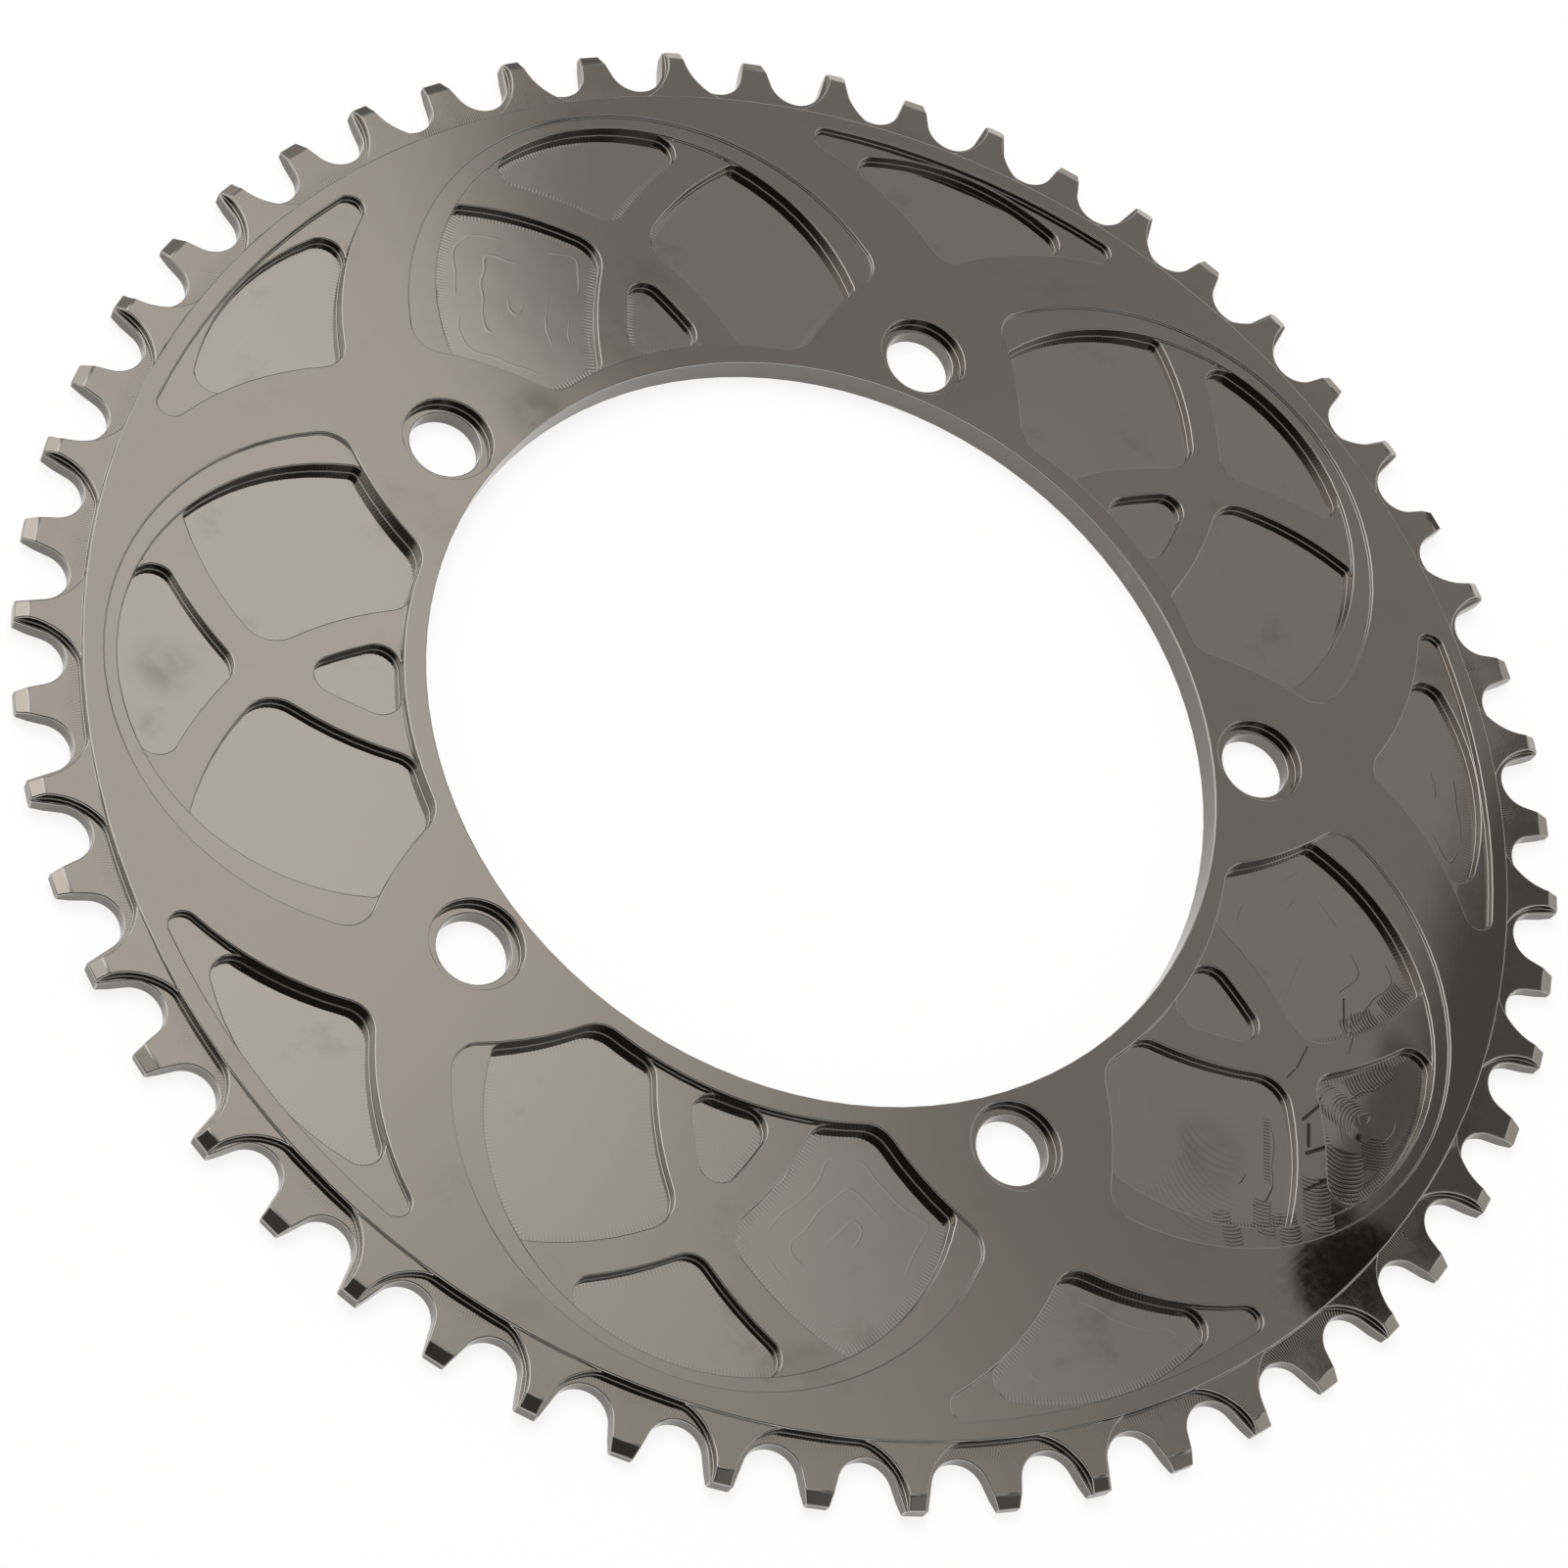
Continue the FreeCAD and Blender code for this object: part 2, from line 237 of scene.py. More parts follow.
world = bpy.data.worlds.new("room")
bpy.context.scene.world = world
world.use_nodes = True
tree = world.node_tree
tree.nodes.clear()
direction = add_node(tree, "ShaderNodeTexCoord").outputs["Generated"]
upright = add_node(tree, "ShaderNodeSeparateXYZ", in_0=direction).outputs["Z"]
level = remap(tree, upright, *HORIZON_GLOW, HORIZON_LEVEL, ROOM_LEVEL)
for heading, height, radius, soft, brightness in CARDS:
    near = dot(tree, direction, sky_direction(heading, height))
    away = times(tree, do_sum(tree, "ARCCOSINE", near), 180.0 / math.pi)
    on_card = remap(tree, away, radius, radius + soft, 1.0, 0.0)
    level = mix_numbers(tree, on_card, level, brightness)
mirrored = add_node(tree, "ShaderNodeBackground", in_Color=ROOM_TINT, in_Strength=level)
paper = add_node(tree, "ShaderNodeBackground", in_Color=WHITE, in_Strength=1.0)
seen = add_node(tree, "ShaderNodeLightPath")
shown = add_node(tree, "ShaderNodeMixShader", in_0=seen.outputs["Is Camera Ray"],
                 in_1=mirrored.outputs[0], in_2=paper.outputs[0])
add_node(tree, "ShaderNodeOutputWorld", in_Surface=shown.outputs[0])
print("cards in the room:", len(CARDS))

# %% [markdown]
# The ring that is seen could be modelled again from a disc, but the solid
# already has every arc in its place. So the ring starts as a copy of it. The
# solid's mesh is loose triangles, which have no edges in common that could be
# rounded. Merging the doubles joins them, and beautify turns the slivers on the
# flat faces into better triangles.

# %% Copy the solid and join its faces
SAME_POINT = 0.000002           # metres
SAME_PLANE = math.radians(0.4)

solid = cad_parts["chainring"]
ring = bpy.data.objects.new("ring", solid.data.copy())
bpy.context.scene.collection.objects.link(ring)
bpy.ops.object.select_all(action="DESELECT")
ring.select_set(True)
bpy.context.view_layer.objects.active = ring
bpy.ops.object.mode_set(mode="EDIT")
bpy.ops.mesh.select_mode(type="EDGE")
bpy.ops.mesh.select_all(action="SELECT")
bpy.ops.mesh.remove_doubles(threshold=SAME_POINT)
bpy.ops.mesh.beautify_fill(angle_limit=SAME_PLANE)
bpy.ops.mesh.select_all(action="DESELECT")


def open_edges(mesh):
    """How many edges don't have a face on both sides."""
    return sum(1 for edge in mesh.edges if len(edge.link_faces) != 2)


mesh = bmesh.from_edit_mesh(ring.data)
print("faces after joining:", len(mesh.faces), "edges:", len(mesh.edges),
      "open:", open_edges(mesh))
bpy.ops.object.mode_set(mode="OBJECT")

# %% [markdown]
# The ring is one metal, but six finishes lie on it: its flat turned faces, the
# milled floors, the walls, the teeth, the broken edges, and the floors of the
# window on +X, which the cutter marked most. Each gets a material of its own in
# a slot of the mesh. They are empty here and are filled further on.

# %% Name the finishes
FACE, FLOOR, WALL, TOOTH, EDGE, SCALLOPED = range(6)
FINISHES = ("plated_face", "milled_floor", "milled_wall", "milled_tooth",
            "broken_edge", "scalloped_floor")

ring.data.materials.clear()
for finish in FINISHES:
    ring.data.materials.append(bpy.data.materials.new(finish))
print("finishes:", len(ring.data.materials))

# %% [markdown]
# In the photo thin pale lines run along the edges and the feet of the walls.
# On milled parts these are usually the round that the cutter's tip leaves and
# edges that were broken before plating. Their sizes here are guessed from how
# wide the lines look. The Bevel node could fake both in the shading, but the
# exported mesh would stay sharp. So the edges are picked by how far they turn
# and are bevelled in edit mode, first the feet and then the outer edges. The
# second bevel puts its faces in another order on each run, but the faces
# themselves are always the same.

# %% Round the foot of each wall, then break each outer edge
INWARDS, OUTWARDS = -1, 1
FOOT_R = 0.12 * MM
BREAK_R = 0.19 * MM
ROUND_STEPS = 3
FLAT = 0.9995                   # upright part of the normal of a flat face
RIM_TURN = 5.0                  # least turn, in degrees, where a flat face meets a wall
CORNER_TURN = 35.0              # least turn between two walls or two flat faces


def is_flat(face):
    return abs(face.normal.z) > FLAT


def round_edges(way, radius):
    """Rounds the edges that turn that way, and says how many they were."""
    bpy.ops.mesh.select_all(action="DESELECT")
    mesh = bmesh.from_edit_mesh(ring.data)
    picked = 0
    for edge in mesh.edges:
        if len(edge.link_faces) != 2:
            continue
        turn = math.degrees(edge.calc_face_angle_signed()) * way
        mixed = is_flat(edge.link_faces[0]) != is_flat(edge.link_faces[1])
        if turn > (RIM_TURN if mixed else CORNER_TURN):
            edge.select = True
            picked += 1
    bmesh.update_edit_mesh(ring.data)
    bpy.ops.mesh.bevel(offset=radius, segments=ROUND_STEPS, affect="EDGES",
                       clamp_overlap=False, loop_slide=False, material=EDGE)
    return picked


bpy.ops.object.mode_set(mode="EDIT")
print("wall feet:", round_edges(INWARDS, FOOT_R))
print("outer edges:", round_edges(OUTWARDS, BREAK_R))

# %% [markdown]
# Now each face gets its finish. They could be picked by hand, but there are
# thousands, and each tells by itself how it was cut: upright ones are walls,
# those outside the turned step belong to the teeth, and those at the height of
# a pocket are floors. The rest are the flat faces of the plate.

# %% Sort the faces by how they were cut
STEP_R = 103.36 * MM
POCKET_LEVELS = (3.7 * MM, 3.2 * MM, 1.8 * MM)
SAME_LEVEL = 0.03 * MM
UPRIGHT = 0.1                   # upright part of the normal of a wall, at most
WINDOW_HALF_ANGLE = math.radians(36)
SMOOTH_TURN = math.radians(34)  # faces that turn by less are shaded as one


def finish_of(face):
    """Number of the finish that a face gets, by where it lies and how it faces."""
    middle = face.calc_center_median()
    if abs(face.normal.z) < UPRIGHT:
        return WALL
    if math.hypot(middle.x, middle.y) > STEP_R:
        return TOOTH
    if any(abs(middle.z - level) < SAME_LEVEL for level in POCKET_LEVELS):
        first_window = abs(math.atan2(middle.y, middle.x)) < WINDOW_HALF_ANGLE
        return SCALLOPED if first_window else FLOOR
    return FACE


bpy.ops.mesh.select_all(action="DESELECT")
mesh = bmesh.from_edit_mesh(ring.data)
for face in mesh.faces:
    if face.material_index != EDGE:
        face.material_index = finish_of(face)
for edge in mesh.edges:
    if len({face.material_index == EDGE for face in edge.link_faces}) == 2:
        edge.select = True
bmesh.update_edit_mesh(ring.data)
bpy.ops.mesh.mark_sharp()
bpy.ops.mesh.select_all(action="DESELECT")
mesh = bmesh.from_edit_mesh(ring.data)
print("faces now:", len(mesh.faces), "open edges:", open_edges(mesh))
for number, finish in enumerate(FINISHES):
    print(finish, "faces:", sum(1 for face in mesh.faces if face.material_index == number))
bpy.ops.object.mode_set(mode="OBJECT")
bpy.ops.object.shade_smooth_by_angle(angle=SMOOTH_TURN, keep_sharp_edges=True)
ring.data.calc_loop_triangles()
print("triangles of the ring:", len(ring.data.loop_triangles))

# %% [markdown]
# Several finishes need the same things: the place on the ring as an angle and a
# distance from its axis, a repeat of one part of the ring all round it, and the
# distance to arcs that bound a shape. Each could be typed out in every
# material, but helpers and node groups keep them in one place.

# %% Helpers for places on the ring
NUMBER, VECTOR, COLOUR = "NodeSocketFloat", "NodeSocketVector", "NodeSocketColor"
CORNER = 2.5                    # how softly lines along the walls turn a corner, in mm


def new_group(name, inputs, outputs):
    """A shader node group with sockets given as pairs of name and kind."""
    tree = bpy.data.node_groups.new(name, "ShaderNodeTree")
    for title, kind in inputs:
        tree.interface.new_socket(title, in_out="INPUT", socket_type=kind)
    for title, kind in outputs:
        tree.interface.new_socket(title, in_out="OUTPUT", socket_type=kind)
    return tree, tree.nodes.new("NodeGroupInput"), tree.nodes.new("NodeGroupOutput")


def use_group(tree, group, **inputs):
    """Places a node group in a tree."""
    node = tree.nodes.new("ShaderNodeGroup")
    node.node_tree = group
    for name, value in inputs.items():
        fill(tree, node.inputs[name], value)
    return node


def gap(tree, first, second):
    """Distance between two places."""
    return add_node(tree, "ShaderNodeVectorMath", operation="DISTANCE",
                    in_0=first, in_1=second).outputs["Value"]


def flatten(tree, place):
    """The place straight below, at height zero."""
    return add_node(tree, "ShaderNodeVectorMath", operation="MULTIPLY",
                    in_0=place, in_1=(1.0, 1.0, 0.0)).outputs[0]


def about_axis(tree, place):
    """Angle about the axis of the ring, and distance from it."""
    parts = add_node(tree, "ShaderNodeSeparateXYZ", in_0=place)
    angle = do_sum(tree, "ARCTAN2", parts.outputs["Y"], parts.outputs["X"])
    return angle, gap(tree, flatten(tree, place), (0.0, 0.0, 0.0))


def folded(tree, angle, radius, sector, shift):
    """Place in one sector of the ring, with its middle line along +Y and folded over it."""
    turned = do_sum(tree, "FLOORED_MODULO", plus(tree, angle, shift), sector)
    turned = minus(tree, turned, sector / 2)
    x = do_sum(tree, "ABSOLUTE", times(tree, radius, do_sum(tree, "SINE", turned)))
    y = times(tree, radius, do_sum(tree, "COSINE", turned))
    return add_node(tree, "ShaderNodeCombineXYZ", in_0=x, in_1=y).outputs[0]


def inside(tree, place, circles):
    """How far inside all these circles a place is, and the run along the nearest of them.

    A circle has x, y, radius and the side that counts as inside. Outside, the first is negative.
    """
    parts = add_node(tree, "ShaderNodeSeparateXYZ", in_0=place)
    nearest = run = None
    for x, y, radius, side in circles:
        away = gap(tree, place, (x, y, 0.0))
        away = minus(tree, radius, away) if side == "in" else minus(tree, away, radius)
        turn = do_sum(tree, "ARCTAN2", minus(tree, parts.outputs["Y"], y),
                      minus(tree, parts.outputs["X"], x))
        along = times(tree, turn, radius)
        if nearest is None:
            nearest, run = away, along
            continue
        run = mix_numbers(tree, do_sum(tree, "LESS_THAN", away, nearest), run, along)
        nearest = do_sum(tree, "SMOOTH_MIN", nearest, away, CORNER)
    return nearest, run


print("helpers for places on the ring are ready")

# %% [markdown]
# A milling cutter leaves its path behind. It follows the walls of a pocket at
# even distances, so the marks on a floor are lines along the walls. A plain
# noise would ignore the walls, so this group works out, for any place on a
# floor, how far the nearest wall is and how far along that wall the place lies.
# All five windows and sails are taken as alike, and each as the same on both
# sides of its middle line, so one fifth of a ring, folded once, is enough.

# %% Distance to the wall of a pocket, as a node group
FIFTH = math.radians(72)
# the circles that bound the deep pockets: x, y and radius in mm with the middle
# line along +Y; "in" for a pocket inside the circle, "out" for one outside
PETAL = [(0, 10, 50.6, "out"), (52.55, 22.33, 47.4, "out"), (0, 66.3, 32.4, "in"),
         (32.54, 48.62, 42.2, "in"), (-36.13, 50.45, 48.2, "out")]
FAN = [(37.82, 41.77, 55.36, "out"), (0, 66.3, 32.4, "in")]
DROP = [(0, 10, 50.6, "out"), (-49.71, 45.5, 58.04, "in")]
SAIL = [(31.15, 52.24, 43.0, "out"), (0, 65.0, 35.55, "in")]

pocket, start, end = new_group("pocket_walls", [("Place", VECTOR)],
                               [("Distance", NUMBER), ("Run", NUMBER)])
angle, radius = about_axis(pocket, start.outputs["Place"])
window_place = folded(pocket, angle, radius, FIFTH, WINDOW_HALF_ANGLE)
sail_place = folded(pocket, angle, radius, FIFTH, 0.0)
distance, run = inside(pocket, window_place, PETAL)
for place, sides in ((window_place, FAN), (window_place, DROP), (sail_place, SAIL)):
    other, other_run = inside(pocket, place, sides)
    closer = do_sum(pocket, "GREATER_THAN", other, distance)
    run = mix_numbers(pocket, closer, run, other_run)
    distance = do_sum(pocket, "MAXIMUM", distance, other)
fill(pocket, end.inputs["Distance"], distance)
fill(pocket, end.inputs["Run"], run)
print("nodes in the wall group:", len(pocket.nodes))

# %% [markdown]
# Where the cutter worked its way along a corner it left scallops: arcs with the
# radius of the cutter, one behind the other. They could be cut into the mesh,
# but they are only a few thousandths of a millimetre deep. So one group draws a
# patch of them as a height: a wave along the patch, bent by the cutter's arc,
# that fades out at the ends and the sides of the patch.

# %% Scallops, as a node group
MARK_INPUTS = [("Place", VECTOR), ("Middle", VECTOR), ("Along", VECTOR),
               ("Length", NUMBER), ("Width", NUMBER), ("Height", NUMBER)]
FADE_FROM = 0.75                # a patch of scallops fades out beyond this share of its size


def from_middle(tree, start):
    """Place seen from the middle of a mark, and its part along the mark."""
    off = add_node(tree, "ShaderNodeVectorMath", operation="SUBTRACT",
                   in_0=start.outputs["Place"], in_1=start.outputs["Middle"]).outputs[0]
    return off, dot(tree, off, start.outputs["Along"])


def fade_out(tree, away, reach):
    """One near the middle of a patch, falling to zero at its reach."""
    return remap(tree, do_sum(tree, "DIVIDE", away, reach), FADE_FROM, 1.0, 1.0, 0.0)


scallops, start, end = new_group(
    "scallops", MARK_INPUTS + [("Radius", NUMBER), ("Spacing", NUMBER)], [("Height", NUMBER)])
off, along = from_middle(scallops, start)
across_squared = minus(scallops, dot(scallops, off, off), times(scallops, along, along))
across_squared = do_sum(scallops, "MAXIMUM", across_squared, 0.0)
radius = start.outputs["Radius"]
arc_squared = minus(scallops, times(scallops, radius, radius), across_squared)
arc = do_sum(scallops, "SQRT", do_sum(scallops, "MAXIMUM", arc_squared, 0.0))
phase = do_sum(scallops, "DIVIDE", minus(scallops, along, arc), start.outputs["Spacing"])
wave = do_sum(scallops, "SINE", times(scallops, phase, 2 * math.pi))
ends = fade_out(scallops, do_sum(scallops, "ABSOLUTE", along), start.outputs["Length"])
sides = fade_out(scallops, do_sum(scallops, "SQRT", across_squared), start.outputs["Width"])
lift = times(scallops, times(scallops, wave, ends),
             times(scallops, sides, start.outputs["Height"]))
fill(scallops, end.inputs["Height"], lift)
print("nodes in the scallop group:", len(scallops.nodes))

# %% [markdown]
# The other marks are straight: scratches, dents and long low ridges. All are
# the same shape, a soft round line with a length, a width and a height, so a
# second group draws any of them. It finds the nearest place on the line and
# fades out with the distance from there.

# %% Strokes, as a node group
strokes, start, end = new_group("strokes", MARK_INPUTS, [("Height", NUMBER)])
off, along = from_middle(strokes, start)
half = start.outputs["Length"]
along = do_sum(strokes, "MAXIMUM", along, times(strokes, half, -1.0))
along = do_sum(strokes, "MINIMUM", along, half)
nearest = add_node(strokes, "ShaderNodeVectorMath", operation="SCALE",
                   in_0=start.outputs["Along"], in_Scale=along).outputs[0]
away = do_sum(strokes, "DIVIDE", gap(strokes, off, nearest), start.outputs["Width"])
lift = times(strokes, remap(strokes, away, 0.0, 1.0, 1.0, 0.0), start.outputs["Height"])
fill(strokes, end.inputs["Height"], lift)
print("nodes in the stroke group:", len(strokes.nodes))

# %% [markdown]
# The ring looks plated in a warm grey metal, smooth enough to mirror the room.
# What the plating really is can't be told from a photo, so its colour and its
# haze were set until the render matched. One flat colour would look like paint,
# so both drift a little, with the faint brownish clouds that the photo shows.

# %% Colour and haze of the plating, as a node group
CLOUD_COLOUR = (0.335, 0.298, 0.252, 1.0)
CLOUDS = (0.58, 0.74)           # a cloud starts at the first value of its noise, full at the second
CLOUD_HAZE = 0.008
GRAIN = (0.3, 0.7)              # range of the grain's noise that is used
GRAIN_HAZE = (-0.008, 0.012)    # least and most that the fine grain adds


def noise(tree, place, scale, detail, rough=0.5):
    """Noise between 0 and 1 that changes that often in a millimetre."""
    return add_node(tree, "ShaderNodeTexNoise", in_Vector=place, in_Scale=scale,
                    in_Detail=detail, in_Roughness=rough).outputs[0]


plating, start, end = new_group(
    "plating", [("Place", VECTOR), ("Haze", NUMBER), ("Smudges", NUMBER), ("Metal", COLOUR)],
    [("Color", COLOUR), ("Roughness", NUMBER)])
clouds = noise(plating, start.outputs["Place"], scale=0.075, detail=4.0, rough=0.6)
clouds = remap(plating, clouds, *CLOUDS)
share = times(plating, clouds, start.outputs["Smudges"])
tint = mix_colours(plating, share, start.outputs["Metal"], CLOUD_COLOUR)
grain = noise(plating, start.outputs["Place"], scale=0.9, detail=5.0, rough=0.65)
grain = remap(plating, grain, *GRAIN, *GRAIN_HAZE)
haze = plus(plating, plus(plating, start.outputs["Haze"], grain),
            times(plating, clouds, CLOUD_HAZE))
fill(plating, end.inputs["Color"], tint)
fill(plating, end.inputs["Roughness"], haze)
print("nodes in the plating group:", len(plating.nodes))

# %% [markdown]
# Each finish is this plating on a surface of its own. So each material starts the same way, and
# then gets its relief as a bump, in thousandths of a millimetre, and, where it has them, painted
# shade in its marks and smudges on it.

# %% Helpers for the finishes
METAL_COLOUR = (0.405, 0.366, 0.322, 1.0)
# painted shade: this colour is mixed into the grooves of the marks for the dark that they mirror
MARK_SHADE_COLOUR = (0.085, 0.078, 0.068, 1.0)
SMUDGE_COLOUR = (0.235, 0.205, 0.160, 1.0)
SMUDGE_NOISE = (0.30, 0.62)     # thinnest at the first value of its noise, full at the second
SMUDGE_LEAST = 0.35             # how much is left where it is thinnest
MICRON = 0.000001
MM_PER_M = 1000.0


def metal(name, haze, smudges, colour=METAL_COLOUR):
    """Fills a material with the plating. Gives its tree, its shader and the place in mm."""
    made = bpy.data.materials[name]
    made.use_nodes = True
    tree = made.node_tree
    shader = tree.nodes["Principled BSDF"]
    shader.inputs["Metallic"].default_value = 1.0
    where = add_node(tree, "ShaderNodeTexCoord").outputs["Object"]
    place = add_node(tree, "ShaderNodeVectorMath", operation="SCALE",
                     in_0=where, in_Scale=MM_PER_M).outputs[0]
    look = use_group(tree, plating, Place=place, Haze=haze, Smudges=smudges, Metal=colour)
    fill(tree, shader.inputs["Base Color"], look.outputs["Color"])
    fill(tree, shader.inputs["Roughness"], look.outputs["Roughness"])
    return tree, shader, place


def raise_surface(tree, shader, height):
    """Feeds a height in thousandths of a millimetre to the shader as a bump."""
    bump = add_node(tree, "ShaderNodeBump", in_Strength=1.0, in_Distance=MICRON, in_Height=height)
    fill(tree, shader.inputs["Normal"], bump.outputs["Normal"])


def waves(tree, place, size, height, detail):
    """Uneven surface: a noise of that size in mm, up and down by that height."""
    return times(tree, minus(tree, noise(tree, place, 1.0 / size, detail), 0.5), height)


def tint_metal(tree, shader, share, colour):
    """Mixes a colour over what the metal has so far."""
    base = shader.inputs["Base Color"]
    fill(tree, base, mix_colours(tree, share, base.links[0].from_socket, colour))


def paint_mark_shade(tree, shader, height, low, most):
    """Paints shade into the marks for the dark that they mirror, from no change at zero height to
    most at low.
    """
    tint_metal(tree, shader, remap(tree, height, 0.0, low, 0.0, most), MARK_SHADE_COLOUR)


def soft_disc(tree, place, x, y, reach, flat_part):
    """One inside a disc on the ring, up to that part of its reach, falling to zero there."""
    away = gap(tree, flatten(tree, place), (x, y, 0.0))
    return remap(tree, away, flat_part * reach, reach, 1.0, 0.0)


def smudge(tree, shader, place, x, y, reach, most):
    """A brownish smudge with an uneven edge, at one place."""
    uneven = noise(tree, place, scale=0.28, detail=3.0)
    uneven = remap(tree, uneven, *SMUDGE_NOISE, SMUDGE_LEAST * most, most)
    disc = soft_disc(tree, place, x, y, reach, flat_part=0.1)
    share = times(tree, disc, uneven)
    tint_metal(tree, shader, share, SMUDGE_COLOUR)


print("helpers for the finishes are ready")

# %% [markdown]
# Faint rings run round the axis on the flat faces, as a lathe tool leaves them.
# A noise over distance and angle draws them, because it can be long along a
# ring and short across it. A second, wider noise keeps the mirror from being
# perfectly flat, and two smudges lie where the photo has them.

# %% Flat turned faces
RINGS_PER_MM = 1.6
RING_BREAKS = 6.0               # how often a ring changes along its way, per radian
FACE_SMUDGES = [(-57.6, 12.6, 7.0, 0.75), (78.0, -33.0, 11.0, 0.25)]    # x, y, reach, strength

tree, shader, place = metal("plated_face", haze=0.03, smudges=0.5)
angle, radius = about_axis(tree, place)
turned = add_node(tree, "ShaderNodeCombineXYZ", in_0=times(tree, radius, RINGS_PER_MM),
                  in_1=times(tree, angle, RING_BREAKS)).outputs[0]
uneven = waves(tree, place, size=9.0, height=3.0, detail=0.0)
rings = waves(tree, turned, size=1.0, height=0.32, detail=1.0)
raise_surface(tree, shader, plus(tree, uneven, rings))
for spot in FACE_SMUDGES:
    smudge(tree, shader, place, *spot)
print("smudges on the faces:", len(FACE_SMUDGES))

# %% [markdown]
# A milled floor shows the even steps between one pass of the cutter and the
# next, and short ticks where the cutter chattered along a wall. Both follow the
# walls, so both are drawn from the wall group. The photo has the deep floors a
# little paler than the ribs, so they have a colour of their own.

# %% Colour and height of a milled floor
RIB_COLOUR = (0.425, 0.386, 0.342, 1.0)
FLOOR_COLOUR = (0.474, 0.436, 0.396, 1.0)
DEEP_BELOW = 2.5                # a floor lower than this, in mm, is a deep one
WALL_BAND = 0.2                 # the marks start over this much from the wall, in mm
PASS_WIDTH = 3.7                # from one pass of the cutter to the next, in mm
PASS_LIFT = 3.2                 # height of the ridge between them
RIDGE_AT = 0.9                  # where in its pass the ridge lies, as a share of the pass
RIDGE_HALF = 0.055              # half of its width, as a share of the pass
RIDGE_WORN = (0.40, 0.54)       # worn off where a noise is below these, whole above
CHATTER_SPACING = 0.52          # from one tick to the next, in mm
CHATTER_LIFT = 1.8
CHATTER_REACH = (0.6, 2.0)      # whole so near the wall and gone so far from it, in mm


def is_deep(tree, place):
    """One on the deep floors and zero above them."""
    upright = add_node(tree, "ShaderNodeSeparateXYZ", in_0=place).outputs["Z"]
    return do_sum(tree, "LESS_THAN", upright, DEEP_BELOW)


def floor_metal(name):
    """Fills a material with the plating of the floors."""
    tree, shader, place = metal(name, haze=0.045, smudges=0.6)
    look = shader.inputs["Base Color"].links[0].from_node
    colour = mix_colours(tree, is_deep(tree, place), RIB_COLOUR, FLOOR_COLOUR)
    fill(tree, look.inputs["Metal"], colour)
    return tree, shader, place


def tick_wave(tree, run, spacing):
    """Up and down once for each tick along a wall."""
    return do_sum(tree, "SINE", times(tree, run, 2 * math.pi / spacing))


def floor_height(tree, place, worked):
    """Height of a milled floor, with its ridges as strong as it was worked, from 0 to 1."""
    walls = use_group(tree, pocket, Place=place)
    near_wall = walls.outputs["Distance"]
    in_pocket = times(tree, remap(tree, near_wall, 0.0, WALL_BAND), is_deep(tree, place))
    drift = waves(tree, place, size=8.0, height=4.5, detail=1.0)
    passes = do_sum(tree, "DIVIDE", plus(tree, near_wall, drift), PASS_WIDTH)
    off_ridge = minus(tree, do_sum(tree, "FRACT", passes), RIDGE_AT)
    off_ridge = do_sum(tree, "ABSOLUTE", off_ridge)
    ridges = remap(tree, off_ridge, 0.0, RIDGE_HALF, PASS_LIFT, 0.0)
    whole = remap(tree, noise(tree, place, scale=0.1, detail=1.0), *RIDGE_WORN)
    ridges = times(tree, ridges, whole)
    ridges = times(tree, ridges, worked)
    chatter = times(tree, tick_wave(tree, walls.outputs["Run"], CHATTER_SPACING),
                    remap(tree, near_wall, *CHATTER_REACH, CHATTER_LIFT, 0.0))
    height = times(tree, plus(tree, ridges, chatter), in_pocket)
    height = plus(tree, height, waves(tree, place, size=6.5, height=6.0, detail=1.0))
    return plus(tree, height, waves(tree, place, size=0.6, height=0.10, detail=2.0))


print("ridges between passes, mm apart:", PASS_WIDTH)

# %% [markdown]
# In the photo most floors show faint ridges only, and three pockets show more.
# A mask of soft discs brings them up there, so that one material does for all
# of these floors. The ridges follow the kind seen in the photo, not each line.

# %% Milled floors
WORKED_LEAST = 0.12
WORKED_FLAT = 0.7
WORKED = [(-71.8, 30.5, 17.0), (40.1, -66.9, 17.0), (74.4, -54.0, 15.0)]    # x, y, reach
FLOOR_SMUDGE = (-74.4, -54.6, 6.0, 0.55)                # x, y, reach, strength

tree, shader, place = floor_metal("milled_floor")
worked = WORKED_LEAST
for x, y, reach in WORKED:
    worked = do_sum(tree, "MAXIMUM", worked, soft_disc(tree, place, x, y, reach, WORKED_FLAT))
raise_surface(tree, shader, floor_height(tree, place, worked))
smudge(tree, shader, place, *FLOOR_SMUDGE)
print("floors that were worked more:", len(WORKED))
